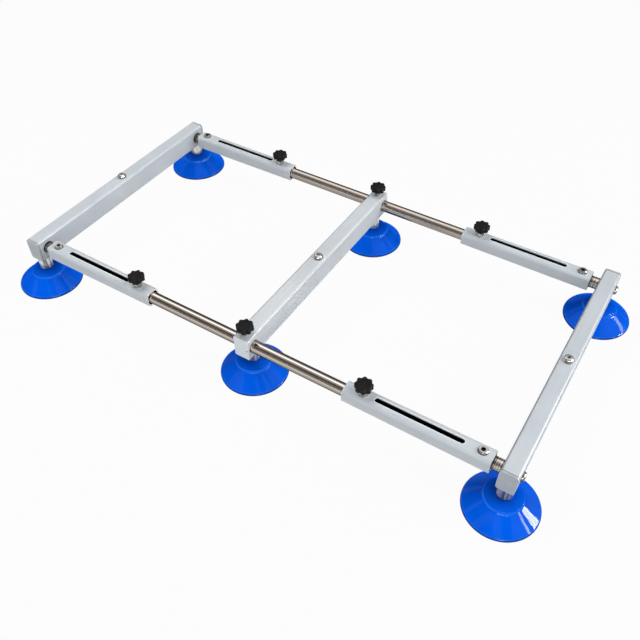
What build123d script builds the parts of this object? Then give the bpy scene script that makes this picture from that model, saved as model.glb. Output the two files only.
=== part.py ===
from build123d import *
import os

os.makedirs("parts", exist_ok=True)

# All sizes are in millimetres. X runs along the rails, left end at minus X.
# Y runs from the near rail at minus Y to the far rail. Z is up and the cups stand on z = 0.

# Layout of the frame
end_bar_reach = 414.0        # middle of the frame to the centre line of each end crossbar
rail_reach = 195.0           # middle of the frame to the centre line of each rail
axis_height = 72.0           # floor to the centre lines of the rails and crossbars
middle_bar_shift = 6.0       # where the middle crossbar rests along the rails
end_cup_offset = 7.0         # cups of the end crossbars stand this far outside the rails
middle_cup_inset = 12.0      # cups of the middle crossbar stand this far inside the rails

# End crossbars and their end caps
end_bar_width = 25.0
end_bar_height = 38.0
end_bar_wall = 2.0
end_bar_corner = 4.0
end_bar_overhang = 17.0      # rail centre line to the sawn end of the tube
cap_thickness = 3.0
cap_plug_depth = 3.5
cap_edge_round = 0.8
cap_plug_gap = 0.15          # between the plug and the inside of the tube, each side

# Middle crossbar
middle_bar_width = 25.0
middle_bar_height = 38.0
middle_bar_corner = 1.2
middle_bar_overhang = 13.0   # rail centre line to the sawn end of the bar
mark_hole_diameter = 2.4
mark_hole_depth = 2.4
mark_hole_offset = 9.5       # from the centre line of the end face towards plus X
mark_hole_drop = 1.5         # below the centre line of the end face

# Rail tubes
rail_diameter = 19.0
rail_wall = 1.5
rail_overhang = 13.5         # clamp axis on an arm to the end of the rail inside it
rail_edge_round = 0.4
rail_running_gap = 0.1       # between a rail and the bore of the middle crossbar, all round

# Arms
arm_width = 25.0
arm_wall = 2.5
arm_corner = 4.0
arm_inner_corner = 3.0
arm_length = 215.0
arm_setback = 13.5           # open length of spigot between crossbar and arm
slot_width = 8.0
slot_length = 130.0
slot_start = 40.0            # outer end of the arm to the near end of the slot
clamp_inset = 27.5           # mouth of the arm to the clamp axis
arm_screw_distance = 15.5    # outer end of the arm to the cap screw axis

# Spigots
spigot_insertion = 30.0      # length of spigot inside the arm
spigot_hole_gap = 0.75       # dark ring between a spigot and its hole in the crossbar
spigot_edge_break = 0.6
spigot_grooves = 2           # turned rings in the open length
spigot_groove_width = 1.0
spigot_groove_depth = 0.5

# Threads, all of one size and drawn as plain cylinders
thread_diameter = 8.0
thread_gap = 0.05            # between a screw and its tapped hole, all round
clearance_gap = 0.5          # between a screw and a plain clearance hole, all round
thread_tip_break = 0.8       # chamfer on the end of each screw and stud

# Button-head screws and bolts
button_head_diameter = 14.0
button_head_height = 4.4
button_head_round = 3.2
button_socket_flats = 5.0
button_socket_depth = 2.6
spigot_bolt_length = 20.0
centre_screw_length = 12.0
washer_diameter = 17.0
washer_thickness = 1.6

# Socket-head cap screws through the arms
cap_head_diameter = 13.0
cap_head_height = 8.0
cap_head_edge_break = 0.7
cap_socket_flats = 6.0
cap_socket_depth = 4.0
cap_screw_length = 25.0
cap_head_gap = 0.6           # between the head and the hole it sinks into, all round
cap_seat_depth = 1.0         # flat cut into the top of the spigot under the head

# Hexagon nuts
nut_flats = 13.0
nut_height = 6.5
nut_edge_break = 0.6

# Suction cups, each turned about a vertical axis
cup_diameter = 105.0
cup_lip_height = 2.8
cup_lip_width = 3.0
cup_shoulder_width = 0.9
cup_shoulder_rise = 0.8
crease_diameter = 55.0
crease_height = 23.0
boss_base_diameter = 51.6
boss_base_rise = 4.3
boss_top_diameter = 27.0
cup_height = 32.0
cavity_roof_diameter = 42.0
cavity_roof_height = 19.5
lip_round = 0.8
crease_round = 1.6
boss_edge_round = 1.2
boss_round = 1.0
roof_round = 7.0

# Cup inserts, stems and backing plates
insert_disc_diameter = 26.0
insert_disc_thickness = 3.0
insert_disc_height = 25.5
insert_gap = 0.05            # between the moulded rubber and the steel insert
stem_diameter = 22.0
stem_edge_break = 0.5
plate_width = 16.5
plate_length = 12.0
plate_thickness = 3.0
middle_stud_grip = 11.0      # thread of a cup stud inside the middle crossbar

# Clamp knobs, studs and pressure tips
knob_diameter = 26.0
knob_head_height = 8.0
knob_edge_round = 1.3
knob_lobes = 8
scallop_radius = 4.4
scallop_depth = 1.9
knob_dish_diameter = 15.0
knob_dish_depth = 0.5
hub_diameter = 14.0
hub_height = 4.0
hub_standoff = 2.0           # between the top of the nut and the hub
middle_hub_standoff = 6.7    # between the top of the middle crossbar and the hub
stud_grip = 9.0              # length of stud moulded into the knob
stud_running_gap = 0.1       # between a stud and the thread it turns in, all round
tip_diameter = 6.0
tip_height = 2.0
tip_rail_gap = 0.3           # pressure tip to rail with the clamp at rest
tip_pin_diameter = 3.0
tip_pin_length = 2.0
tip_pin_gap = 0.08           # between the pin and its hole in the stud, all round

# Heights and radii that follow from the sizes above
thread_radius = thread_diameter / 2
tapped_radius = thread_radius + thread_gap
clear_radius = thread_radius + clearance_gap
rail_radius = rail_diameter / 2
end_bar_top = axis_height + end_bar_height / 2
end_bar_bottom = axis_height - end_bar_height / 2
middle_bar_top = axis_height + middle_bar_height / 2
middle_bar_bottom = axis_height - middle_bar_height / 2
arm_top = axis_height + arm_width / 2
arm_outer_end = end_bar_reach - end_bar_width / 2 - arm_setback
arm_screw_reach = arm_outer_end - arm_screw_distance
arm_mouth = arm_outer_end - arm_length
clamp_reach = arm_mouth + clamp_inset
rail_length = 2 * (clamp_reach + rail_overhang)
end_bar_length = 2 * (rail_reach + end_bar_overhang)
middle_bar_length = 2 * (rail_reach + middle_bar_overhang)
end_cup_reach = rail_reach + end_cup_offset
middle_cup_reach = rail_reach - middle_cup_inset
tip_bottom = axis_height + rail_radius + tip_rail_gap
tip_top = tip_bottom + tip_height
cap_seat = axis_height + rail_radius - cap_seat_depth


def along_x(shape):
    return Rot(0, 90, 0) * shape


def along_y(shape):
    return Rot(-90, 0, 0) * shape


def rod(radius, bottom, top):
    # upright round bar on the Z axis
    return Pos(0, 0, bottom) * Cylinder(
        radius, top - bottom, align=(Align.CENTER, Align.CENTER, Align.MIN)
    )


def box_tube(width, height, wall, corner, inner_corner, length):
    # centred tube along Z
    section = RectangleRounded(width, height, corner)
    section -= RectangleRounded(width - 2 * wall, height - 2 * wall, inner_corner)
    return extrude(section, length / 2, both=True)


def hexagon(flats, bottom, top):
    # upright six-sided bar on the Z axis
    outline = RegularPolygon(flats / 2, 6, major_radius=False)
    return Pos(0, 0, bottom) * extrude(outline, top - bottom)


def screw(head_diameter, head_height, edge, rounded, flats, depth, length):
    # head above z = 0 and shank below it
    head = rod(head_diameter / 2, 0, head_height)
    top_edge = head.edges().group_by(Axis.Z)[-1]
    if rounded:
        head = fillet(top_edge, edge)
    else:
        head = chamfer(top_edge, edge)
    head -= hexagon(flats, head_height - depth, head_height)
    shank = rod(thread_radius, -length, 0)
    shank = chamfer(shank.edges().group_by(Axis.Z)[0], thread_tip_break)
    return head + shank


def button_screw(length):
    return screw(
        button_head_diameter, button_head_height, button_head_round, True,
        button_socket_flats, button_socket_depth, length,
    )


def cap_screw():
    return screw(
        cap_head_diameter, cap_head_height, cap_head_edge_break, False,
        cap_socket_flats, cap_socket_depth, cap_screw_length,
    )


def hexagon_nut(bore_radius):
    # stands on z = 0, with its corners broken at the top
    nut = hexagon(nut_flats, 0, nut_height)
    crown = rod(nut_flats / 2 + nut_edge_break, 0, nut_height)
    crown = chamfer(crown.edges().group_by(Axis.Z)[-1], nut_edge_break)
    return (nut & crown) - rod(bore_radius, 0, nut_height)


def cup_insert(stud_top):
    disc = rod(
        insert_disc_diameter / 2, insert_disc_height, insert_disc_height + insert_disc_thickness
    )
    stud = rod(thread_radius, insert_disc_height, stud_top)
    stud = chamfer(stud.edges().group_by(Axis.Z)[-1], thread_tip_break)
    return disc + stud


def suction_cup():
    rim = cup_diameter / 2
    outline = FilletPolyline(
        (0, cup_height),
        (boss_top_diameter / 2, cup_height),
        (boss_base_diameter / 2, crease_height + boss_base_rise),
        (crease_diameter / 2, crease_height),
        (rim - cup_shoulder_width, cup_lip_height + cup_shoulder_rise),
        (rim, cup_lip_height),
        (rim, 0),
        (rim - cup_lip_width, 0),
        (cavity_roof_diameter / 2, cavity_roof_height),
        (0, cavity_roof_height),
        radius=[0, boss_round, boss_edge_round, crease_round, lip_round, lip_round, 0, 0, roof_round, 0],
        close=True,
    )
    cup = revolve(Plane.XZ * make_face(outline), Axis.Z)
    disc_top = insert_disc_height + insert_disc_thickness
    cup -= rod(insert_disc_diameter / 2 + insert_gap, insert_disc_height - insert_gap, disc_top + insert_gap)
    return cup - rod(thread_radius + insert_gap, insert_disc_height, cup_height)


def cup_stem(top):
    stem = rod(stem_diameter / 2, cup_height, top)
    ends = stem.edges().filter_by(GeomType.CIRCLE)
    return chamfer(ends, stem_edge_break) - rod(tapped_radius, cup_height, top)


def star_knob():
    # hub underside at z = 0
    radius = knob_diameter / 2
    outline = Circle(radius)
    scallops = PolarLocations(radius + scallop_radius - scallop_depth, knob_lobes)
    for spot in scallops:
        outline -= spot * Circle(scallop_radius)
    head_top = hub_height + knob_head_height
    head = Pos(0, 0, hub_height) * extrude(outline, knob_head_height)
    head = fillet(head.edges().group_by(Axis.Z)[-1], knob_edge_round)
    head -= rod(knob_dish_diameter / 2, head_top - knob_dish_depth, head_top)
    knob = head + rod(hub_diameter / 2, 0, hub_height)
    return knob - rod(tapped_radius, 0, stud_grip)


def clamp_stud(hub_bottom):
    stud = rod(thread_radius, tip_top, hub_bottom + stud_grip)
    stud = chamfer(stud.edges().group_by(Axis.Z)[0], thread_tip_break)
    pin_hole = rod(tip_pin_diameter / 2 + tip_pin_gap, tip_top, tip_top + tip_pin_length + tip_pin_gap)
    return stud - pin_hole


def pressure_tip():
    return rod(tip_diameter / 2, tip_bottom, tip_top) + rod(
        tip_pin_diameter / 2, tip_top, tip_top + tip_pin_length
    )


def rail_tube():
    tube = Cylinder(rail_radius, rail_length) - Cylinder(rail_radius - rail_wall, rail_length)
    outer_ends = tube.edges().filter_by(GeomType.CIRCLE).sort_by(SortBy.RADIUS)[-2:]
    return along_x(fillet(outer_ends, rail_edge_round))


def end_crossbar(side):
    # side is -1 for the left end and +1 for the right end
    inner_corner = end_bar_corner - end_bar_wall
    tube = box_tube(
        end_bar_width, end_bar_height, end_bar_wall, end_bar_corner, inner_corner, end_bar_length
    )
    bar = along_y(tube)
    half_width = end_bar_width / 2
    half_height = end_bar_height / 2
    for rail in (-1, 1):
        inner_hole = along_x(Cylinder(rail_radius + spigot_hole_gap, half_width))
        bar -= Pos(-side * half_width, rail * rail_reach, 0) * inner_hole
        outer_hole = along_x(Cylinder(clear_radius, half_width))
        bar -= Pos(side * half_width, rail * rail_reach, 0) * outer_hole
        bar -= Pos(0, rail * end_cup_reach, 0) * rod(clear_radius, -half_height, 0)
    bar -= rod(clear_radius, 0, half_height)
    return Pos(side * end_bar_reach, 0, axis_height) * bar


def end_cap(side, rail):
    # flat plate outside the tube and a plug inside it
    fit = end_bar_wall + cap_plug_gap
    plate = extrude(RectangleRounded(end_bar_width, end_bar_height, end_bar_corner), cap_thickness)
    plate = fillet(plate.edges().group_by(Axis.Z)[-1], cap_edge_round)
    plug_outline = RectangleRounded(
        end_bar_width - 2 * fit, end_bar_height - 2 * fit, end_bar_corner - fit
    )
    cap = along_y(plate + extrude(plug_outline, -cap_plug_depth))
    if rail < 0:
        cap = Rot(0, 0, 180) * cap
    return Pos(side * end_bar_reach, rail * end_bar_length / 2, axis_height) * cap


def arm(side, rail):
    tube = along_x(box_tube(arm_width, arm_width, arm_wall, arm_corner, arm_inner_corner, arm_length))
    half = arm_width / 2
    outer = side * arm_length / 2
    slot = extrude(SlotOverall(slot_length, slot_width), half)
    tube -= Pos(outer - side * (slot_start + slot_length / 2), 0, 0) * slot
    tube -= Pos(side * clamp_inset - outer, 0, 0) * rod(clear_radius, 0, half)
    screw_spot = Pos(outer - side * arm_screw_distance, 0, 0)
    tube -= screw_spot * rod(cap_head_diameter / 2 + cap_head_gap, 0, half)
    tube -= screw_spot * rod(clear_radius, -half, 0)
    return Pos(side * (arm_outer_end - arm_length / 2), rail * rail_reach, axis_height) * tube


def spigot(side, rail):
    # from the inside of the crossbar's outer wall into the arm
    outer_end = end_bar_reach + end_bar_width / 2 - end_bar_wall
    inner_end = arm_outer_end - spigot_insertion
    body = rod(rail_radius, inner_end, outer_end)
    body = chamfer(body.edges().filter_by(GeomType.CIRCLE), spigot_edge_break)
    body -= rod(tapped_radius, outer_end - spigot_bolt_length, outer_end)
    for number in range(1, spigot_grooves + 1):
        start = arm_outer_end + arm_setback * number / (spigot_grooves + 1) - spigot_groove_width / 2
        groove = rod(rail_radius, start, start + spigot_groove_width)
        body -= groove - rod(rail_radius - spigot_groove_depth, start, start + spigot_groove_width)
    body = Pos(0, 0, axis_height) * along_x(body)
    screw_spot = Pos(arm_screw_reach, 0, 0)
    top = axis_height + rail_radius
    body -= screw_spot * rod(tapped_radius, axis_height - rail_radius, top)
    body -= screw_spot * rod(cap_head_diameter / 2 + cap_head_gap, cap_seat, top)
    if side < 0:
        body = Rot(0, 0, 180) * body
    return Pos(0, rail * rail_reach, 0) * body


def spigot_bolt(side, rail):
    bolt = along_x(button_screw(spigot_bolt_length))
    if side < 0:
        bolt = Rot(0, 0, 180) * bolt
    return Pos(side * (end_bar_reach + end_bar_width / 2), rail * rail_reach, axis_height) * bolt


def middle_crossbar():
    section = RectangleRounded(middle_bar_width, middle_bar_height, middle_bar_corner)
    bar = along_y(extrude(section, middle_bar_length / 2, both=True))
    half = middle_bar_height / 2
    for rail in (-1, 1):
        bore = along_x(Cylinder(rail_radius + rail_running_gap, middle_bar_width))
        bar -= Pos(0, rail * rail_reach, 0) * bore
        bar -= Pos(0, rail * rail_reach, 0) * rod(thread_radius + stud_running_gap, 0, half)
        stud_hole = rod(tapped_radius, -half, middle_stud_grip - half + clearance_gap)
        bar -= Pos(0, rail * middle_cup_reach, 0) * stud_hole
    bar -= rod(tapped_radius, half - centre_screw_length, half)
    mark_hole = along_y(rod(mark_hole_diameter / 2, 0, mark_hole_depth))
    bar -= Pos(mark_hole_offset, -middle_bar_length / 2, -mark_hole_drop) * mark_hole
    return Pos(middle_bar_shift, 0, axis_height) * bar


def backing_plate():
    # lies on the floor of the crossbar tube
    bottom = end_bar_bottom + end_bar_wall
    plate = Pos(0, 0, bottom) * Box(
        plate_width, plate_length, plate_thickness, align=(Align.CENTER, Align.CENTER, Align.MIN)
    )
    return plate - rod(tapped_radius, bottom, bottom + plate_thickness)


def save(name, *solids):
    shape = solids[0] if len(solids) == 1 else Compound(solids)
    export_step(shape, "parts/" + name + ".step")


def save_clamp(name, x, y, hub_bottom):
    spot = Pos(x, y, 0)
    save(name + "_knob", spot * Pos(0, 0, hub_bottom) * star_knob())
    save(name + "_stud", spot * clamp_stud(hub_bottom))
    save(name + "_tip", spot * pressure_tip())


def save_cups(name, x, reach, stem_top, stud_top):
    near = Pos(x, -reach, 0)
    far = Pos(x, reach, 0)
    save(name + "_near_cup", near * suction_cup())
    save(name + "_far_cup", far * suction_cup())
    save(name + "_cup_stems", near * cup_stem(stem_top), far * cup_stem(stem_top))
    save(name + "_cup_inserts", near * cup_insert(stud_top), far * cup_insert(stud_top))


def save_centre_screw(name, x, top):
    washer = rod(washer_diameter / 2, top, top + washer_thickness)
    washer -= rod(clear_radius, top, top + washer_thickness)
    save(name + "_centre_washer", Pos(x, 0, 0) * washer)
    save(name + "_centre_screw", Pos(x, 0, top + washer_thickness) * button_screw(centre_screw_length))


# Rails
for name, rail in (("near", -1), ("far", 1)):
    save(name + "_rail_tube", Pos(0, rail * rail_reach, axis_height) * rail_tube())

# Middle carriage
save("middle_crossbar", middle_crossbar())
save_cups(
    "middle", middle_bar_shift, middle_cup_reach, middle_bar_bottom, middle_bar_bottom + middle_stud_grip
)
save_centre_screw("middle", middle_bar_shift, middle_bar_top)
for name, rail in (("near", -1), ("far", 1)):
    save_clamp(
        "middle_" + name, middle_bar_shift, rail * rail_reach, middle_bar_top + middle_hub_standoff
    )

# Left and right ends
for name, side in (("left", -1), ("right", 1)):
    bar_x = side * end_bar_reach
    screw_spot = Pos(side * arm_screw_reach, 0, cap_seat)
    clamp_x = side * clamp_reach
    plate_top = end_bar_bottom + end_bar_wall + plate_thickness
    weld_nut_bottom = end_bar_top - end_bar_wall - nut_height
    save(name + "_crossbar", end_crossbar(side))
    save(name + "_crossbar_caps", end_cap(side, -1), end_cap(side, 1))
    save(name + "_near_arm", arm(side, -1))
    save(name + "_far_arm", arm(side, 1))
    save(name + "_spigots", spigot(side, -1), spigot(side, 1))
    save(name + "_spigot_bolts", spigot_bolt(side, -1), spigot_bolt(side, 1))
    save(name + "_arm_screws", *[Pos(0, rail * rail_reach, 0) * screw_spot * cap_screw() for rail in (-1, 1)])
    nuts = [
        Pos(clamp_x, rail * rail_reach, arm_top) * hexagon_nut(thread_radius + stud_running_gap)
        for rail in (-1, 1)
    ]
    save(name + "_clamp_nuts", *nuts)
    save_cups(name, bar_x, end_cup_reach, end_bar_bottom, plate_top)
    plates = [Pos(bar_x, rail * end_cup_reach, 0) * backing_plate() for rail in (-1, 1)]
    save(name + "_backing_plates", *plates)
    save_centre_screw(name, bar_x, end_bar_top)
    save(name + "_centre_nut", Pos(bar_x, 0, weld_nut_bottom) * hexagon_nut(tapped_radius))
    for rail_name, rail in (("near", -1), ("far", 1)):
        save_clamp(
            name + "_" + rail_name, clamp_x, rail * rail_reach, arm_top + nut_height + hub_standoff
        )
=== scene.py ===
import bpy
import cmath
import math
from mathutils import Matrix, Vector


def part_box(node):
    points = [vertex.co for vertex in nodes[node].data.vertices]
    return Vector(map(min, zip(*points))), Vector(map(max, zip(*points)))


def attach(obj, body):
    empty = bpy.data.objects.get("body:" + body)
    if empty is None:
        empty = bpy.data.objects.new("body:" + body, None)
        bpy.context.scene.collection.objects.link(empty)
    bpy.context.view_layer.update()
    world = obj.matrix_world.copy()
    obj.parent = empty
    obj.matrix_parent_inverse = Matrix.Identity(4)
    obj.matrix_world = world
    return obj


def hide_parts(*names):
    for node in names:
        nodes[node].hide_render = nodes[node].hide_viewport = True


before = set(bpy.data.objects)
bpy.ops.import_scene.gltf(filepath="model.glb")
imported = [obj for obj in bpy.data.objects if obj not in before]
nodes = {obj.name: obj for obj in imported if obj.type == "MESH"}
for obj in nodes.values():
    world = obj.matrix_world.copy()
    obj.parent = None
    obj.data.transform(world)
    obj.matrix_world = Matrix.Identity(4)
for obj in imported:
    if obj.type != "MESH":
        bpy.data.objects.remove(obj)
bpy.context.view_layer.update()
print("frame loaded:", len(nodes), "nodes")

# places of the main pieces, in metres; left and near mirror right and far
armLow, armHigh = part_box("right_far_arm")
tubeLow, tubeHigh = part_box("right_crossbar")
barLow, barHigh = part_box("middle_crossbar")
screwLow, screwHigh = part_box("right_arm_screws")
axisHeight = (armLow.z + armHigh.z) / 2
railOffset = (armLow.y + armHigh.y) / 2
armHalf = (armHigh.z - armLow.z) / 2
tubeOffset = (tubeLow.x + tubeHigh.x) / 2
tubeHalf = (tubeHigh.x - tubeLow.x) / 2
tubeHalfHeight = (tubeHigh.z - tubeLow.z) / 2
screwOffset = (screwLow.x + screwHigh.x) / 2


class Wire:  # one output socket; arithmetic on it adds Math nodes
    def __init__(self, graph, socket):
        self.graph = graph
        self.socket = socket

    def __add__(self, other):
        return self.graph.math("ADD", self, other)

    def __radd__(self, other):
        return self.graph.math("ADD", other, self)

    def __sub__(self, other):
        return self.graph.math("SUBTRACT", self, other)

    def __rsub__(self, other):
        return self.graph.math("SUBTRACT", other, self)

    def __mul__(self, other):
        return self.graph.math("MULTIPLY", self, other)

    def __rmul__(self, other):
        return self.graph.math("MULTIPLY", other, self)

    def __abs__(self):
        return self.graph.math("ABSOLUTE", self)


class Graph:  # a node tree that is filled one call at a time
    def __init__(self, tree):
        self.tree = tree
        tree.nodes.clear()

    def add(self, kind, settings, inputs, out=0):
        node = self.tree.nodes.new(kind)
        for key, value in settings.items():
            setattr(node, key, value)
        for key, value in inputs.items():
            if isinstance(value, Wire):
                self.tree.links.new(value.socket, node.inputs[key])
            else:
                node.inputs[key].default_value = value
        return Wire(self, node.outputs[out]) if node.outputs else node

    def math(self, operation, a, b=0.0):
        return self.add("ShaderNodeMath", {"operation": operation}, {0: a, 1: b})

    def larger(self, a, b):
        return self.math("MAXIMUM", a, b)

    def hypot(self, a, b):
        return self.math("SQRT", a * a + b * b)

    def mix(self, amount, a, b):
        return self.add("ShaderNodeMix", {"data_type": "RGBA"}, {0: amount, 6: a, 7: b}, 2)

    def remap(self, value, low, high, toLow, toHigh):
        return self.add("ShaderNodeMapRange", {"clamp": True},
                        {0: value, 1: low, 2: high, 3: toLow, 4: toHigh})

    def rise(self, value, low, high, amount=1.0):  # 0 below low, the full amount above high
        return self.remap(value, low, high, 0.0, amount)

    def fall(self, value, low, high, amount=1.0):  # the full amount below low, 0 above high
        return self.remap(value, low, high, amount, 0.0)

    def place(self):  # position in the object's own rest frame, in metres
        return self.add("ShaderNodeTexCoord", {}, {}, "Object")

    def normal(self):
        return self.add("ShaderNodeNewGeometry", {}, {}, "Normal")

    def part(self, vector, axis):
        return self.add("ShaderNodeSeparateXYZ", {}, {0: vector}, axis)

    def stretch(self, vector, scale):
        return self.add("ShaderNodeVectorMath", {"operation": "MULTIPLY"}, {0: vector, 1: scale})

    def distance(self, vector, spot):
        return self.add("ShaderNodeVectorMath", {"operation": "DISTANCE"}, {0: vector, 1: spot}, "Value")

    def seen(self):  # 1 for rays from the camera, off metal or through glass
        names = ("Is Camera Ray", "Is Glossy Ray", "Is Transmission Ray")
        camera, glossy, through = [self.add("ShaderNodeLightPath", {}, {}, name) for name in names]
        return self.larger(camera, self.larger(glossy, through))

    def noise(self, vector, scale, detail=2.0, rough=0.5):
        return self.add("ShaderNodeTexNoise", {"noise_dimensions": "3D"},
                        {"Vector": vector, "Scale": scale, "Detail": detail, "Roughness": rough})

    def drawn(self, vector, scales, detail):  # noise with a scale of its own along each axis
        return self.noise(self.stretch(vector, scales), 1.0, detail)

    def noiseLine(self, value, detail):
        return self.add("ShaderNodeTexNoise", {"noise_dimensions": "1D"},
                        {"W": value, "Scale": 1.0, "Detail": detail})

    def bump(self, height, strength, distance):
        return self.add("ShaderNodeBump", {},
                        {"Strength": strength, "Distance": distance, "Height": height})


def rgb(red, green, blue):
    return (red, green, blue, 1.0)


def material(name):
    made = bpy.data.materials.new(name)
    made.use_nodes = True
    return made, Graph(made.node_tree)


def surface(graph, inputs):
    shader = graph.add("ShaderNodeBsdfPrincipled", {}, inputs)
    graph.add("ShaderNodeOutputMaterial", {}, {"Surface": shader})


# In the looks below a noise is given by scale, detail and roughness, a bump by strength and distance,
# and a span by the two values between which a mask comes up or a finish changes. Bands are in metres.
noiseSpan = (0.3, 0.7)
shadeSpan = (0.35, 0.65)
linesAlongX = (7.0, 900.0, 900.0)
linesAlongY = (900.0, 7.0, 900.0)

# satin silver-grey tube of the end crossbars and arms, rough inside and painted near black there as shade
tubeLook = {"light": rgb(0.59, 0.632, 0.668), "dark": rgb(0.505, 0.546, 0.582), "shadeSpan": (0.36, 0.64),
            "edge": rgb(0.78, 0.8, 0.82), "inside": rgb(0.012, 0.012, 0.013), "graze": rgb(0.4, 0.42, 0.44),
            "cloud": (14.0, 3.0), "cloudShare": 0.45, "speck": (520.0, 2.0, 0.7), "speckShare": 0.25,
            "drawDetail": 3.0, "drawShare": 0.3, "edgeBand": (0.0026, 0.0004),
            "rub": 0.15, "rubNoise": (55.0, 3.0), "rubSpan": (0.42, 0.62),
            "rough": (0.38, 0.52), "roughDraw": 0.6, "roughSpeck": 0.4, "insideRough": 0.4,
            "crossWall": 0.002, "armWall": 0.0025, "wallFade": 0.0004,
            "metallic": 0.08, "bumpDraw": 0.6, "bump": (0.05, 0.0004)}


def greyTube(name, lines, offAxis, half, halfHeight, wall, finishEnds):
    made, g = material(name)
    place = g.place()
    across = offAxis(g, place)
    upright = abs(g.part(place, "Z") - axisHeight)
    draw = g.drawn(place, lines, tubeLook["drawDetail"])
    cloud = g.noise(place, *tubeLook["cloud"])
    speck = g.noise(place, *tubeLook["speck"])
    shade = cloud * tubeLook["cloudShare"] + draw * tubeLook["drawShare"] + speck * tubeLook["speckShare"]
    colour = g.mix(g.rise(shade, *tubeLook["shadeSpan"]), tubeLook["dark"], tubeLook["light"])
    deep, shallow = tubeLook["edgeBand"]
    corner = g.rise(across, half - deep, half - shallow)
    corner = corner * g.rise(upright, halfHeight - deep, halfHeight - shallow)
    rub = g.rise(g.noise(place, *tubeLook["rubNoise"]), *tubeLook["rubSpan"], tubeLook["rub"])
    colour = g.mix(corner * rub, colour, tubeLook["edge"])
    inside = g.fall(across, half - wall, half - wall + tubeLook["wallFade"])
    inside = inside * g.fall(upright, halfHeight - wall, halfHeight - wall + tubeLook["wallFade"])
    colour, inside = finishEnds(g, place, colour, inside)
    # painted shade: the inside of the tube is made near black
    colour = g.mix(inside, colour, tubeLook["inside"])
    rough = draw * tubeLook["roughDraw"] + speck * tubeLook["roughSpeck"]
    rough = g.remap(rough, *shadeSpan, *tubeLook["rough"]) + inside * tubeLook["insideRough"]
    surface(g, {"Base Color": colour, "Roughness": rough, "Specular IOR Level": 0.0,
                "Specular Tint": tubeLook["graze"], "Metallic": (1.0 - inside) * tubeLook["metallic"],
                "Normal": g.bump(speck + draw * tubeLook["bumpDraw"], *tubeLook["bump"])})
    return made


# dark lines on an end crossbar: a dark joint where a cap meets it, and painted shade along its upper left
# edge
seamAndShadeLook = {"seamAndShadeTone": rgb(0.10, 0.105, 0.11), "depth": 0.9, "band": (0.0011, 0.0006),
            "paintedEdgeDepth": 0.55, "leftSpan": (-0.75, -0.3), "upSpan": (0.08, 0.3)}


def offTube(g, place):
    return abs(abs(g.part(place, "X")) - tubeOffset)


def capSeamsAndShadedEdge(g, place, colour, inside):
    # painted shade: darker along the upper left edge, on the side turned from the light
    normal = g.normal()
    leftward = g.fall(g.part(normal, "X"), *seamAndShadeLook["leftSpan"])
    edge = leftward * g.rise(g.part(normal, "Z"), *seamAndShadeLook["upSpan"])
    colour = g.mix(edge * seamAndShadeLook["paintedEdgeDepth"], colour, seamAndShadeLook["seamAndShadeTone"])
    start, stop = [tubeHigh.y - gap for gap in seamAndShadeLook["band"]]
    seam = g.rise(abs(g.part(place, "Y")), start, stop, seamAndShadeLook["depth"])
    return g.mix(seam, colour, seamAndShadeLook["seamAndShadeTone"]), inside


# bright sawn rims at both ends of an arm, and a painted highlight as a pale rim round its slot
slotLook = {"ends": (0.218, 0.348), "radius": 0.004, "rim": rgb(0.9, 0.92, 0.93), "rimDepth": 0.85,
            "rimBand": (0.0004, 0.0014), "topBand": (0.0006, 0.0002), "sawnSpan": (0.7, 0.9)}


def offArm(g, place):
    return abs(abs(g.part(place, "Y")) - railOffset)


def sawnMouthAndSlotHighlight(g, place, colour, inside):
    sawn = g.rise(abs(g.part(g.normal(), "X")), *slotLook["sawnSpan"])
    colour = g.mix(sawn, colour, tubeLook["edge"])
    low, high = slotLook["ends"]
    straight = (high - low) / 2 - slotLook["radius"]  # half the slot's length between its round ends
    past = abs(abs(g.part(place, "X")) - (low + high) / 2) - straight
    toSlot = g.hypot(g.larger(past, 0.0), offArm(g, place)) - slotLook["radius"]
    start, stop = [armHalf - gap for gap in slotLook["topBand"]]
    onTop = g.rise(abs(g.part(place, "Z") - axisHeight), start, stop)
    # painted highlight: a pale rim round the slot
    rim = g.fall(toSlot, *slotLook["rimBand"], slotLook["rimDepth"]) * onTop
    return g.mix(rim, colour, slotLook["rim"]), inside * (1.0 - sawn)


# bare aluminium bar with milled faces and sawn ends and a drilled mark in its end faces; a painted highlight
# along its upper right edge, and painted shade along its upper left edge, round each rail and in the drilled
# mark
barLook = {"light": rgb(0.645, 0.68, 0.71), "dark": rgb(0.53, 0.565, 0.595), "shadeSpan": (0.36, 0.64),
           "sawn": rgb(0.72, 0.755, 0.785), "sawnSpan": (0.6, 0.9), "graze": rgb(0.4, 0.42, 0.44),
           "cloud": (16.0, 3.0), "cloudShare": 0.4, "speck": (480.0, 2.0, 0.7), "speckShare": 0.25,
           "drawDetail": 3.0, "drawShare": 0.35, "metallic": 0.1, "rough": (0.36, 0.48), "sawnRough": 0.12,
           "pits": (700.0, 2.0), "pitSpan": (0.62, 0.7), "pitDepth": 0.6, "pitGrey": 0.7,
           "sawPitch": 2600.0, "sawCentre": (-0.09, 0.0, -0.03),
           "wobble": (160.0, 2.0), "wobbleReach": 0.0012,
           "bumpDraw": 0.5, "bumpSpeck": 0.6, "bumpSaw": 0.5, "bump": (0.05, 0.0004),
           "edge": rgb(0.8, 0.825, 0.845), "paintedEdgeDepth": 0.5, "edgeBand": (0.0055, 0.0015),
           "paintedShade": rgb(0.03, 0.03, 0.032),
           "paintedLineDepth": 0.8, "lineBand": (0.0007, 0.002), "lineTop": (0.0016, 0.0006),
           "boreRadius": 0.0096, "boreBand": (0.0002, 0.0008), "boreDepth": 0.85,
           "mark": (0.0155, 0.0, 0.0705), "markRadius": 0.00125, "markFade": 0.0002,
           "holeBand": (-0.0002, 0.0001), "holeDepth": 0.9}


def endPlane(g, place):  # the place with its Y left out
    return g.stretch(place, (1.0, 0.0, 1.0))


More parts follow.
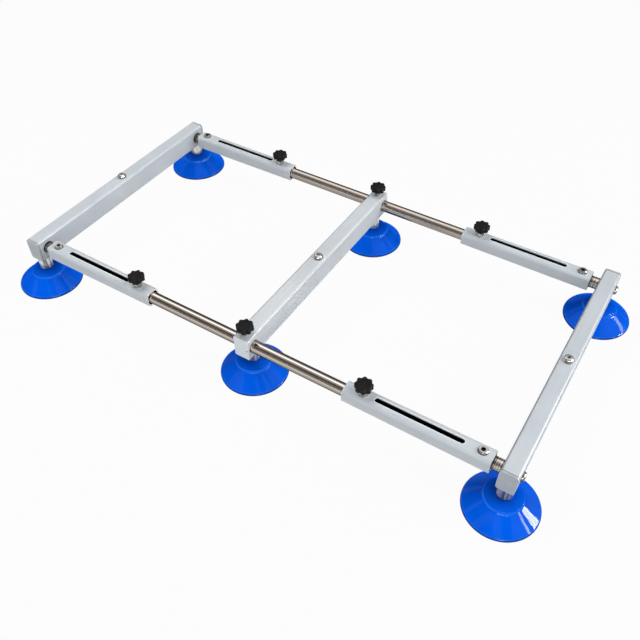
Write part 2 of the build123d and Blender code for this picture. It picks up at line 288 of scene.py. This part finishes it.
def paintedBarHighlightAndShade(g, place, colour, sawn):
    across = g.part(place, "X")
    height = g.part(place, "Z")
    deep, shallow = barLook["edgeBand"]  # painted highlight, pale along the upper right edge
    paintedHighlight = g.rise(across, barHigh.x - deep, barHigh.x - shallow, barLook["paintedEdgeDepth"])
    paintedHighlight = paintedHighlight * g.rise(height, barHigh.z - deep, barHigh.z - shallow)
    colour = g.mix(paintedHighlight, colour, barLook["edge"])
    start, stop = [barLow.x + gap for gap in barLook["lineBand"]]  # painted shade, dark along the upper left edge
    line = g.fall(across, start, stop, barLook["paintedLineDepth"])
    start, stop = [barHigh.z - gap for gap in barLook["lineTop"]]
    line = line * g.rise(height, start, stop)
    colour = g.mix(line * (1.0 - sawn), colour, barLook["paintedShade"])
    toRail = g.hypot(abs(g.part(place, "Y")) - railOffset, height - axisHeight)
    start, stop = [barLook["boreRadius"] + gap for gap in barLook["boreBand"]]  # painted shade, a dark ring round each rail where it enters its bore
    ring = g.fall(toRail, start, stop, barLook["boreDepth"]) * (1.0 - sawn)
    # painted shade in the drilled mark and the walls of its hole
    toMark = g.distance(endPlane(g, place), barLook["mark"])
    radius = barLook["markRadius"]
    mark = g.fall(toMark, radius, radius + barLook["markFade"]) * sawn
    start, stop = [radius + gap for gap in barLook["holeBand"]]
    hole = g.fall(toMark, start, stop, barLook["holeDepth"])
    return g.mix(g.larger(ring, g.larger(mark, hole)), colour, barLook["paintedShade"])


def bareBar(name):
    made, g = material(name)
    place = g.place()
    sawn = g.rise(abs(g.part(g.normal(), "Y")), *barLook["sawnSpan"])
    draw = g.drawn(place, linesAlongY, barLook["drawDetail"])
    cloud = g.noise(place, *barLook["cloud"])
    speck = g.noise(place, *barLook["speck"])
    pits = g.rise(g.noise(place, *barLook["pits"]), *barLook["pitSpan"])
    shade = cloud * barLook["cloudShare"] + draw * barLook["drawShare"] + speck * barLook["speckShare"]
    shade = g.rise(shade, *barLook["shadeSpan"])
    shade = g.larger(shade - sawn * barLook["pitDepth"] * pits, 0.0)
    colour = g.mix(shade, barLook["dark"], barLook["light"])
    colour = g.mix(sawn * (1.0 - pits * barLook["pitGrey"]), colour, barLook["sawn"])
    colour = paintedBarHighlightAndShade(g, place, colour, sawn)
    arc = g.distance(endPlane(g, place), barLook["sawCentre"])
    arc = arc + g.noise(place, *barLook["wobble"]) * barLook["wobbleReach"]
    teeth = g.math("SINE", arc * barLook["sawPitch"])
    relief = draw * barLook["bumpDraw"] + speck * barLook["bumpSpeck"] + sawn * teeth * barLook["bumpSaw"]
    rough = g.remap(draw, *noiseSpan, *barLook["rough"]) + sawn * barLook["sawnRough"]
    surface(g, {"Base Color": colour, "Roughness": rough, "Specular IOR Level": 0.0,
                "Specular Tint": barLook["graze"], "Metallic": barLook["metallic"],
                "Normal": g.bump(relief, *barLook["bump"])})
    return made


# grey moulded end caps
capLook = {"light": rgb(0.41, 0.445, 0.47), "dark": rgb(0.355, 0.385, 0.415), "cloud": (60.0, 3.0),
           "grain": (1500.0, 2.0), "rough": (0.42, 0.58), "bump": (0.08, 0.0003)}


def capPlastic(name):
    made, g = material(name)
    place = g.place()
    grain = g.noise(place, *capLook["grain"])
    shade = g.rise(g.noise(place, *capLook["cloud"]), *shadeSpan)
    surface(g, {"Base Color": g.mix(shade, capLook["dark"], capLook["light"]),
                "Roughness": g.remap(grain, *noiseSpan, *capLook["rough"]),
                "Normal": g.bump(grain, *capLook["bump"])})
    return made


# polished stainless rails with fine drawn lines along them and painted reflection lines at set turns; turns
# are measured from upright to the near side
railLook = {"light": rgb(0.54, 0.485, 0.44), "dark": rgb(0.20, 0.17, 0.148), "shadeSpan": (0.34, 0.60),
            "edge": rgb(0.16, 0.14, 0.12), "fine": 9.0, "fineDetail": 2.0, "drift": 0.5,
            "lines": 6.0, "reflectionLineStart": math.radians(-26), "paintedLineDepth": 0.13,
            "smear": (40.0, 3.0), "rough": (0.08, 0.15)}


def drawnRail(name):
    made, g = material(name)
    place = g.place()
    sideways = g.part(place, "Y")
    nearward = g.math("SIGN", sideways) * railOffset - sideways
    turn = g.math("ARCTAN2", nearward, g.part(place, "Z") - axisHeight)
    drift = g.part(place, "X") * railLook["drift"]
    fine = g.noiseLine(turn * railLook["fine"] + drift, railLook["fineDetail"])
    # painted reflection: dark lines at set turns round the rail
    lines = g.math("COSINE", (turn - railLook["reflectionLineStart"]) * railLook["lines"])
    shade = g.rise(fine - lines * railLook["paintedLineDepth"], *railLook["shadeSpan"])
    smear = g.noise(place, *railLook["smear"])
    surface(g, {"Base Color": g.mix(shade, railLook["dark"], railLook["light"]),
                "Roughness": g.remap(smear, *noiseSpan, *railLook["rough"]),
                "Metallic": 1.0, "Specular Tint": railLook["edge"]})
    return made


# turned spigots, dark in their rings, with a painted shadow at the left end of each gap between arm and
# crossbar
spigotLook = {"light": rgb(0.50, 0.45, 0.41), "dark": rgb(0.075, 0.062, 0.052), "shadeSpan": (0.40, 0.60),
              "rings": (820.0, 14.0, 14.0), "ringDetail": 2.0, "ringShare": 0.75,
              "cloud": (120.0, 2.0), "cloudShare": 0.25, "rough": (0.16, 0.3), "bump": (0.15, 0.0003),
              "paintedShade": rgb(0.022, 0.018, 0.016), "paintedShadeDepth": 0.9, "paintedShadeBand": (0.001, 0.0048)}


def turnedSpigot(name):
    made, g = material(name)
    place = g.place()
    rings = g.drawn(place, spigotLook["rings"], spigotLook["ringDetail"])
    cloud = g.noise(place, *spigotLook["cloud"])
    shade = rings * spigotLook["ringShare"] + cloud * spigotLook["cloudShare"]
    colour = g.mix(g.rise(shade, *spigotLook["shadeSpan"]), spigotLook["dark"], spigotLook["light"])
    gapMiddle = (armHigh.x + tubeLow.x) / 2
    gapHalf = (tubeLow.x - armHigh.x) / 2
    reach = g.part(place, "X")
    reach = reach - g.math("SIGN", reach) * gapMiddle + gapHalf
    # painted shadow at the left end of each gap between arm and crossbar
    paintedShade = g.fall(reach, *spigotLook["paintedShadeBand"], spigotLook["paintedShadeDepth"])
    surface(g, {"Base Color": g.mix(paintedShade, colour, spigotLook["paintedShade"]),
                "Roughness": g.remap(rings, *noiseSpan, *spigotLook["rough"]), "Metallic": 1.0,
                "Normal": g.bump(rings, *spigotLook["bump"])})
    return made


# satin stems between bars and cups, brushed along their length, in streaks strong enough to be painted
# reflection bands
stemLook = {"light": rgb(0.74, 0.735, 0.72), "dark": rgb(0.14, 0.135, 0.125), "shadeSpan": (0.34, 0.56),
            "brush": (210.0, 210.0, 4.0), "brushDetail": 2.0, "brushShare": 0.9,
            "cloud": (90.0, 2.0), "cloudShare": 0.1, "rough": (0.12, 0.2), "metallic": 0.6}


def brushedStem(name):
    made, g = material(name)
    place = g.place()
    brush = g.drawn(place, stemLook["brush"], stemLook["brushDetail"])
    cloud = g.noise(place, *stemLook["cloud"])
    # brushed grain, with contrast raised to paint reflection bands
    shade = g.rise(brush * stemLook["brushShare"] + cloud * stemLook["cloudShare"], *stemLook["shadeSpan"])
    surface(g, {"Base Color": g.mix(shade, stemLook["dark"], stemLook["light"]),
                "Roughness": g.remap(brush, *noiseSpan, *stemLook["rough"]),
                "Metallic": stemLook["metallic"]})
    return made


# plated fasteners, with painted shade in the drive sockets of the arm screws
zincLook = {"light": rgb(0.56, 0.54, 0.51), "dark": rgb(0.22, 0.21, 0.195),
            "centreLight": rgb(0.64, 0.64, 0.63), "centreDark": rgb(0.24, 0.238, 0.235),
            # the bolt tones are a darker copy of the zinc, painted shade
            "boltShadedLight": rgb(0.34, 0.325, 0.31), "boltShadedDark": rgb(0.10, 0.095, 0.09),
            "blotch": (260.0, 3.0), "blotchShare": 0.6, "fine": (1600.0, 2.0), "fineShare": 0.4,
            "metallic": 0.95, "rough": (0.14, 0.28), "bump": (0.06, 0.0003),
            "paintedShade": rgb(0.008, 0.008, 0.008), "socketRadius": 0.0038, "socketFade": 0.0002,
            "socketBand": (0.0009, 0.0003)}


def paintedSocketShade(g, place):
    offX = abs(g.part(place, "X")) - screwOffset
    offY = abs(g.part(place, "Y")) - railOffset
    start, stop = [screwHigh.z - gap for gap in zincLook["socketBand"]]
    deep = g.fall(g.part(place, "Z"), start, stop)
    radius = zincLook["socketRadius"]
    return deep * g.fall(g.hypot(offX, offY), radius, radius + zincLook["socketFade"])


def zincSteel(name, light, dark, socket):
    made, g = material(name)
    place = g.place()
    blotch = g.noise(place, *zincLook["blotch"])
    fine = g.noise(place, *zincLook["fine"])
    shade = g.rise(blotch * zincLook["blotchShare"] + fine * zincLook["fineShare"], *shadeSpan)
    colour = g.mix(shade, dark, light)
    metallic = zincLook["metallic"]
    if socket:
        # painted shade in the drive socket
        paintedShade = paintedSocketShade(g, place)
        colour = g.mix(paintedShade, colour, zincLook["paintedShade"])
        metallic = (1.0 - paintedShade) * metallic
    surface(g, {"Base Color": colour, "Roughness": g.remap(fine, *noiseSpan, *zincLook["rough"]),
                "Metallic": metallic, "Normal": g.bump(fine, *zincLook["bump"])})
    return made


# black moulded knobs, with painted shade making their sides darker than their tops
knobLook = {"light": rgb(0.0085, 0.0075, 0.0075), "dark": rgb(0.0035, 0.0032, 0.0035),
            "side": rgb(0.0012, 0.0012, 0.0014), "shadedSideSpan": (0.5, 0.95), "cloud": (120.0, 3.0),
            "grain": (1400.0, 2.0), "rough": (0.45, 0.65), "specular": 0.13, "bump": (0.12, 0.0003)}


def blackPlastic(name):
    made, g = material(name)
    place = g.place()
    grain = g.noise(place, *knobLook["grain"])
    shade = g.rise(g.noise(place, *knobLook["cloud"]), *shadeSpan)
    colour = g.mix(shade, knobLook["dark"], knobLook["light"])
    # painted shade: darker where the surface turns to the side
    side = g.fall(g.part(g.normal(), "Z"), *knobLook["shadedSideSpan"])
    surface(g, {"Base Color": g.mix(side, colour, knobLook["side"]),
                "Roughness": g.remap(grain, *noiseSpan, *knobLook["rough"]),
                "Specular IOR Level": knobLook["specular"], "Normal": g.bump(grain, *knobLook["bump"])})
    return made


# natural nylon pressure tips
nylonLook = {"light": rgb(0.8, 0.78, 0.72), "dark": rgb(0.7, 0.68, 0.62), "cloud": (300.0, 3.0),
             "rough": (0.4, 0.55), "bump": (0.05, 0.0003)}


def nylonTip(name):
    made, g = material(name)
    shade = g.noise(g.place(), *nylonLook["cloud"])
    surface(g, {"Base Color": g.mix(shade, nylonLook["dark"], nylonLook["light"]),
                "Roughness": g.remap(shade, *noiseSpan, *nylonLook["rough"]),
                "Normal": g.bump(shade, *nylonLook["bump"])})
    return made


# glossy blue rubber cups, with painted shade round the stem and on the lip that stands on the floor, and
# painted highlights as pale rings at the boss edge and the rim shoulder
rubberLook = {"light": rgb(0.0, 0.117, 0.83), "dark": rgb(0.0, 0.095, 0.7), "cloud": (22.0, 3.0),
              "deep": rgb(0.0, 0.012, 0.13), "boss": (0.013, 0.0235), "bossShadeDepth": (0.52, 0.05),
              "bossEdge": 0.0262, "bossFade": 0.0008, "bossGloss": 0.3, "bossGlossBand": (-0.001, 0.0005),
              "lipShadeTone": rgb(0.0, 0.03, 0.28), "lip": (0.0026, 0.0037), "lipShadeDepth": 0.9,
              "paintedHighlight": rgb(0.012, 0.2, 0.92), "rings": ((0.0267, 0.5), (0.0512, 0.35)),
              "ringBand": (0.0003, 0.0013), "smear": (60.0, 2.0), "rough": (0.34, 0.46),
              "gloss": (0.2, 0.01), "glossSpan": (0.40, 0.70), "facingBlend": 0.5,
              "smearGloss": (0.85, 1.0), "glossRough": 0.045, "bump": (0.02, 0.0008)}


def rubberColour(g, place, radius):
    shade = g.rise(g.noise(place, *rubberLook["cloud"]), *shadeSpan)
    colour = g.mix(shade, rubberLook["dark"], rubberLook["light"])
    # painted shade: deeper blue round the stem, under the bar
    boss = g.remap(radius, *rubberLook["boss"], *rubberLook["bossShadeDepth"])
    boss = boss * g.fall(radius, rubberLook["bossEdge"] - rubberLook["bossFade"], rubberLook["bossEdge"])
    colour = g.mix(boss, colour, rubberLook["deep"])
    # painted shade: deeper blue on the lip that stands on the floor
    lip = g.fall(g.part(place, "Z"), *rubberLook["lip"], rubberLook["lipShadeDepth"])
    colour = g.mix(lip, colour, rubberLook["lipShadeTone"])
    for ringRadius, amount in rubberLook["rings"]:  # painted highlights: paler rings at the boss edge and the rim shoulder
        ring = g.fall(abs(radius - ringRadius), *rubberLook["ringBand"], amount)
        colour = g.mix(ring * (1.0 - lip), colour, rubberLook["paintedHighlight"])
    return colour


def blueRubber(name):
    made, g = material(name)
    place = g.place()
    radius = g.distance(g.stretch(place, (1.0, 1.0, 0.0)), (0.0, 0.0, 0.0))
    smear = g.noise(place, *rubberLook["smear"])
    facing = g.add("ShaderNodeLayerWeight", {}, {"Blend": rubberLook["facingBlend"]}, "Facing")
    gloss = g.remap(facing, *rubberLook["glossSpan"], *rubberLook["gloss"])
    start, stop = [rubberLook["bossEdge"] + gap for gap in rubberLook["bossGlossBand"]]
    gloss = gloss * g.remap(radius, start, stop, rubberLook["bossGloss"], 1.0)
    gloss = gloss * g.remap(smear, *noiseSpan, *rubberLook["smearGloss"])
    surface(g, {"Base Color": rubberColour(g, place, radius),
                "Roughness": g.remap(smear, *shadeSpan, *rubberLook["rough"]),
                "Specular IOR Level": 0.0, "Coat Weight": gloss, "Coat Roughness": rubberLook["glossRough"],
                "Normal": g.bump(smear, *rubberLook["bump"])})
    return made


looks = {
    "crossTube": greyTube("crossTube", linesAlongY, offTube, tubeHalf, tubeHalfHeight, tubeLook["crossWall"],
                          capSeamsAndShadedEdge),
    "armTube": greyTube("armTube", linesAlongX, offArm, armHalf, armHalf, tubeLook["armWall"], sawnMouthAndSlotHighlight),
    "bareBar": bareBar("bareBar"),
    "capPlastic": capPlastic("capPlastic"),
    "railSteel": drawnRail("railSteel"),
    "spigotSteel": turnedSpigot("spigotSteel"),
    "stemSteel": brushedStem("stemSteel"),
    "zincSteel": zincSteel("zincSteel", zincLook["light"], zincLook["dark"], False),
    # the spigot bolts take a darker copy of the zinc, painted shade
    "boltSteel": zincSteel("boltSteel", zincLook["boltShadedLight"], zincLook["boltShadedDark"], False),
    "centreZinc": zincSteel("centreZinc", zincLook["centreLight"], zincLook["centreDark"], False),
    "armScrew": zincSteel("armScrew", zincLook["light"], zincLook["dark"], True),
    "blackPlastic": blackPlastic("blackPlastic"),
    "nylon": nylonTip("nylon"),
    "blueRubber": blueRubber("blueRubber"),
}

# finish of a node by the end of its name; the first row that fits holds
finishes = (("middle_crossbar", "bareBar"), ("_crossbar", "crossTube"), ("_arm", "armTube"),
            ("_caps", "capPlastic"), ("_rail_tube", "railSteel"), ("_spigots", "spigotSteel"),
            ("_stems", "stemSteel"), ("_knob", "blackPlastic"), ("_tip", "nylon"), ("_cup", "blueRubber"),
            ("_arm_screws", "armScrew"), ("_spigot_bolts", "boltSteel"), ("_centre_screw", "centreZinc"),
            ("_centre_washer", "centreZinc"), ("", "zincSteel"))

for name, piece in nodes.items():
    finish = next(look for ending, look in finishes if name.endswith(ending))
    piece.data.materials.clear()
    piece.data.materials.append(looks[finish])
print("materials on", len(nodes), "nodes")

# arms with rounder corners than the plain tube, most of all at the mouth; radii and slacks in metres
armShape = {"corner": 0.004, "mouthCorner": 0.007, "rootCorner": 0.005,
            "innerCorner": 0.003, "mouthInner": 0.0056,
            "endSlack": 0.0002, "sideSlack": 0.00002, "arcSlack": 0.00003}


def roundCorner(spot, side, half, old, new):  # moves a spot on a corner of the old radius to the new one
    across = spot.co.y - side * railOffset
    upright = spot.co.z - axisHeight
    centre = half - old
    outward = abs(across) - centre
    upward = abs(upright) - centre
    offArc = abs(math.hypot(outward, upward) - old)
    if min(outward, upward) < -armShape["sideSlack"] or offArc > armShape["arcSlack"]:
        return
    turn = math.atan2(upward, outward)
    spot.co.y = side * railOffset + math.copysign(half - new + new * math.cos(turn), across)
    spot.co.z = axisHeight + math.copysign(half - new + new * math.sin(turn), upright)


def roundedArm(name, piece):
    mesh = piece.data.copy()
    side = -1 if "near" in name else 1
    for spot in mesh.vertices:
        reach = abs(spot.co.x)
        if abs(reach - armLow.x) < armShape["endSlack"]:
            innerHalf = armHalf - tubeLook["armWall"]
            roundCorner(spot, side, innerHalf, armShape["innerCorner"], armShape["mouthInner"])
            roundCorner(spot, side, armHalf, armShape["corner"], armShape["mouthCorner"])
        elif abs(reach - armHigh.x) < armShape["endSlack"]:
            roundCorner(spot, side, armHalf, armShape["corner"], armShape["rootCorner"])
    arm = bpy.data.objects.new("rounded_" + name, mesh)
    bpy.context.collection.objects.link(arm)
    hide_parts(name)
    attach(arm, name.split("_")[0] + "_end")


for name in [n for n in nodes if n.endswith("_arm")]:
    roundedArm(name, nodes[name])
print("arms rounded")

# moulded cups with a rounded rim and a stepped boss; each row is radius, height and corner round in mm
cupShape = {"outline": ((0, 25.45, 0), (13.05, 25.45, 0), (13.05, 28.55, 0),  # pocket of the insert
                        (4.05, 28.55, 0), (4.05, 32, 0),  # hole for its stud
                        (13.5, 32, 1.2), (25.8, 27.3, 2.4), (27.5, 23, 7.0),  # boss and crease
                        (52.5, 2.88, 4.6), (52.5, 0, 0.3), (49.5, 0, 0.3),  # skirt and lip
                        (21, 19.5, 7.0), (0, 19.5, 0)),  # hollow underside
            "steps": 144, "arcSteps": 8, "hold": 0.25, "sharpAngle": math.radians(40), "millimetre": 0.001}


def roundedPath(outline, arcSteps, hold):
    path = []
    for i, (radius, height, bend) in enumerate(outline):
        here = complex(radius, height)
        if not bend:
            path.append(here)
            continue
        back = complex(*outline[i - 1][:2]) - here
        onward = complex(*outline[i + 1][:2]) - here
        back /= abs(back)
        onward /= abs(onward)
        half = abs(cmath.phase(onward / back)) / 2
        middle = here + (back + onward) / abs(back + onward) * bend / math.sin(half)
        arm = here + back * bend / math.tan(half) - middle
        swing = cmath.phase((here + onward * bend / math.tan(half) - middle) / arm)
        path += [middle + arm * cmath.exp(1j * swing * k / arcSteps) for k in range(arcSteps + 1)]
    full = [path[0]]
    for spot in path[1:]:  # rings beside the corners keep long faces straight in the shading
        run = spot - full[-1]
        if abs(run) > 4 * hold:
            full += [full[-1] + run / abs(run) * hold, spot - run / abs(run) * hold]
        full.append(spot)
    return full


def spin(name, path, place, steps):  # turns a path of radius and height round the upright axis
    spots, faces, rings = [], [], []
    for point in path:
        radius = point.real * cupShape["millimetre"]
        height = point.imag * cupShape["millimetre"]
        if not radius:  # on the axis a ring is one spot
            rings.append([len(spots)] * steps)
            spots.append((0, 0, height))
            continue
        rings.append(list(range(len(spots), len(spots) + steps)))
        turns = [2 * math.pi * k / steps for k in range(steps)]
        spots += [(radius * math.cos(turn), radius * math.sin(turn), height) for turn in turns]
    for a, b in zip(rings, rings[1:]):
        for k in range(steps):
            n = (k + 1) % steps
            faces.append(tuple(dict.fromkeys((a[k], b[k], b[n], a[n]))))
    mesh = bpy.data.meshes.new(name)
    mesh.from_pydata(spots, [], faces)
    mesh.shade_smooth()
    mesh.set_sharp_from_angle(angle=cupShape["sharpAngle"])
    piece = bpy.data.objects.new(name, mesh)
    bpy.context.collection.objects.link(piece)
    piece.location = place
    return piece


cupPath = roundedPath(cupShape["outline"], cupShape["arcSteps"], cupShape["hold"])
for name in [n for n in nodes if n.endswith("_cup")]:
    low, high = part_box(name)
    centre = ((low.x + high.x) / 2, (low.y + high.y) / 2, 0)
    cup = spin("moulded_" + name, cupPath, centre, cupShape["steps"])
    cup.data.materials.append(looks["blueRubber"])
    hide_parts(name)
    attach(cup, "middle_carriage" if name.startswith("middle") else name.split("_")[0] + "_end")
print("cups moulded")

# pale paper floor and white surroundings
white = rgb(1.0, 1.0, 1.0)
studio = {"floorLight": rgb(0.56, 0.56, 0.56), "floorDark": rgb(0.53, 0.53, 0.53), "floorHalf": 6.0,
          "floorGrain": (3.0, 2.0), "floorRough": 0.8, "floorSpecular": 0.1, "floorGlow": 0.95,
          "ambient": 0.12}


def makeFloor():
    half = studio["floorHalf"]
    mesh = bpy.data.meshes.new("floor")
    corners = [(-half, -half, 0), (half, -half, 0), (half, half, 0), (-half, half, 0)]
    mesh.from_pydata(corners, [], [(0, 1, 2, 3)])
    floor = bpy.data.objects.new("floor", mesh)
    bpy.context.collection.objects.link(floor)
    made, g = material("floorPaper")
    grain = g.noise(g.place(), *studio["floorGrain"])
    paper = g.add("ShaderNodeBsdfPrincipled", {}, {
        "Base Color": g.mix(grain, studio["floorDark"], studio["floorLight"]),
        "Roughness": studio["floorRough"], "Specular IOR Level": studio["floorSpecular"]})
    glow = g.add("ShaderNodeEmission", {}, {"Color": white, "Strength": 1.0})
    both = g.add("ShaderNodeMixShader", {}, {0: g.seen() * studio["floorGlow"], 1: paper, 2: glow})
    g.add("ShaderNodeOutputMaterial", {}, {"Surface": both})
    mesh.materials.append(made)


def makeWorld():
    world = bpy.data.worlds.new("studio")
    bpy.context.scene.world = world
    world.use_nodes = True
    g = Graph(world.node_tree)
    strength = g.seen() * (1.0 - studio["ambient"]) + studio["ambient"]
    sky = g.add("ShaderNodeBackground", {}, {"Color": white, "Strength": strength})
    g.add("ShaderNodeOutputWorld", {}, {"Surface": sky})


# soft boxes light the surfaces, and the panes and strips are only mirrored in them;
# each row is place, aim and size in metres, then power in watts
softBoxes = {"frontBox": ((-0.85, -1.4, 0.34), (-0.15, 0, 0.05), (1.2, 0.5), 5.6),
             "frontRightBox": ((0.8, -1.6, 0.4), (0, 0, 0.05), (1.6, 0.6), 9.6),
             "topBox": ((-0.95, 0.0, 2.0), (-0.6, 0.0, 0), (1.6, 1.6), 27.0),
             "topRightBox": ((1.6, 0.3, 1.9), (0, 0, 0), (1.6, 1.6), 26.0),
             "backRightBox": ((2.2, 1.6, 1.3), (0, 0, 0.05), (2.0, 1.2), 26.0)}
panes = {"topStrip": ((-0.3, 0.58, 2.02), (-0.3, 0.0, 0), (3.6, 0.62), 13.0),
         "lowStrip": ((1.0, -1.5, 0.42), (0.2, -0.2, 0.03), (1.2, 0.4), 26.0),
         "paneFar": ((1.97, 1.13, 0.86), (0.414, 0.202, 0.02), (0.35, 0.5), 12.0),
         "glint": ((0.77, -1.43, 1.29), (0.3, -0.2, 0.03), (0.14, 0.035), 2.2),
         "paneWide": ((1.88, 0.52, 0.40), (0.455, -0.206, 0.05), (0.5, 0.6), 73.0),
         "paneSlim": ((2.05, -0.04, 0.5), (0.455, -0.206, 0.05), (0.17, 0.9), 17.0)}


def makeLamp(name, place, aim, size, power, mirrored):
    data = bpy.data.lights.new(name, "AREA")
    data.shape = "RECTANGLE"
    data.size, data.size_y = size
    data.energy = power
    lamp = bpy.data.objects.new(name, data)
    bpy.context.collection.objects.link(lamp)
    lamp.location = place
    lamp.rotation_euler = (Vector(aim) - Vector(place)).to_track_quat("-Z", "Y").to_euler()
    lamp.visible_diffuse = not mirrored
    lamp.visible_glossy = mirrored


# dark cloths, seen only in reflections, which draw lines in polished metal;
# each row is a span of degrees from upright to the near side, and one more cloth hangs at the left
curtain = {"dark": rgb(0.15, 0.13, 0.115), "light": rgb(0.26, 0.23, 0.205), "weave": (2.0, 2.0), "rough": 0.9,
           "rows": ((22, 33), (36, 48), (51, 63), (66, 77), (-88, -50)), "folds": 8,
           "radius": 2.5, "reach": 2.7, "left": -2.6, "leftHalf": 2.3, "leftFoot": 0.05, "leftTop": 1.5}


def makeCurtain():
    corners, faces = [], []
    for start, stop in curtain["rows"]:
        for step in range(curtain["folds"] + 1):
            tilt = math.radians(start + (stop - start) * step / curtain["folds"])
            for x in (-curtain["reach"], curtain["reach"]):
                corners.append((x, -curtain["radius"] * math.sin(tilt), curtain["radius"] * math.cos(tilt)))
            if step:
                last = len(corners)
                faces.append((last - 4, last - 3, last - 1, last - 2))
    faces.append(tuple(range(len(corners), len(corners) + 4)))
    half, foot, top = curtain["leftHalf"], curtain["leftFoot"], curtain["leftTop"]
    corners += [(curtain["left"], y, z) for y, z in ((-half, foot), (half, foot), (half, top), (-half, top))]
    mesh = bpy.data.meshes.new("curtain")
    mesh.from_pydata(corners, [], faces)
    cloth = bpy.data.objects.new("curtain", mesh)
    bpy.context.collection.objects.link(cloth)
    made, g = material("curtainCloth")
    weave = g.noise(g.place(), *curtain["weave"])
    surface(g, {"Base Color": g.mix(weave, curtain["dark"], curtain["light"]), "Roughness": curtain["rough"]})
    mesh.materials.append(made)
    cloth.visible_camera = False
    cloth.visible_diffuse = False
    cloth.visible_shadow = False
    cloth.visible_transmission = False


makeFloor()
makeWorld()
for name, lamp in softBoxes.items():
    makeLamp(name, *lamp, mirrored=False)
for name, lamp in panes.items():
    makeLamp(name, *lamp, mirrored=True)
makeCurtain()
print("studio built")

# camera fitted to the photograph; its width and focal length are in pixels, the roll in degrees
shot = {"place": (0.4709, -0.7241, 0.8441), "aim": (0.0513, -0.0676, 0.0315), "roll": -0.603,
        "focalPixels": 715.36, "widthPixels": 640.0, "sensorWidth": 36.0, "clipStart": 0.01}


def makeCamera():
    data = bpy.data.cameras.new("shot")
    data.sensor_width = shot["sensorWidth"]
    data.lens = shot["focalPixels"] / shot["widthPixels"] * data.sensor_width
    data.clip_start = shot["clipStart"]
    camera = bpy.data.objects.new("shot", data)
    bpy.context.collection.objects.link(camera)
    place = Vector(shot["place"])
    forward = (Vector(shot["aim"]) - place).normalized()
    right = forward.cross(Vector((0, 0, 1))).normalized()
    down = forward.cross(right)
    roll = math.radians(shot["roll"])
    acrossAxis = right * math.cos(roll) - down * math.sin(roll)
    downAxis = right * math.sin(roll) + down * math.cos(roll)
    turn = Matrix((acrossAxis, -downAxis, -forward)).transposed()
    camera.matrix_world = Matrix.Translation(place) @ turn.to_4x4()
    bpy.context.scene.camera = camera


makeCamera()
bpy.context.scene.view_settings.view_transform = "Standard"
print("camera set")
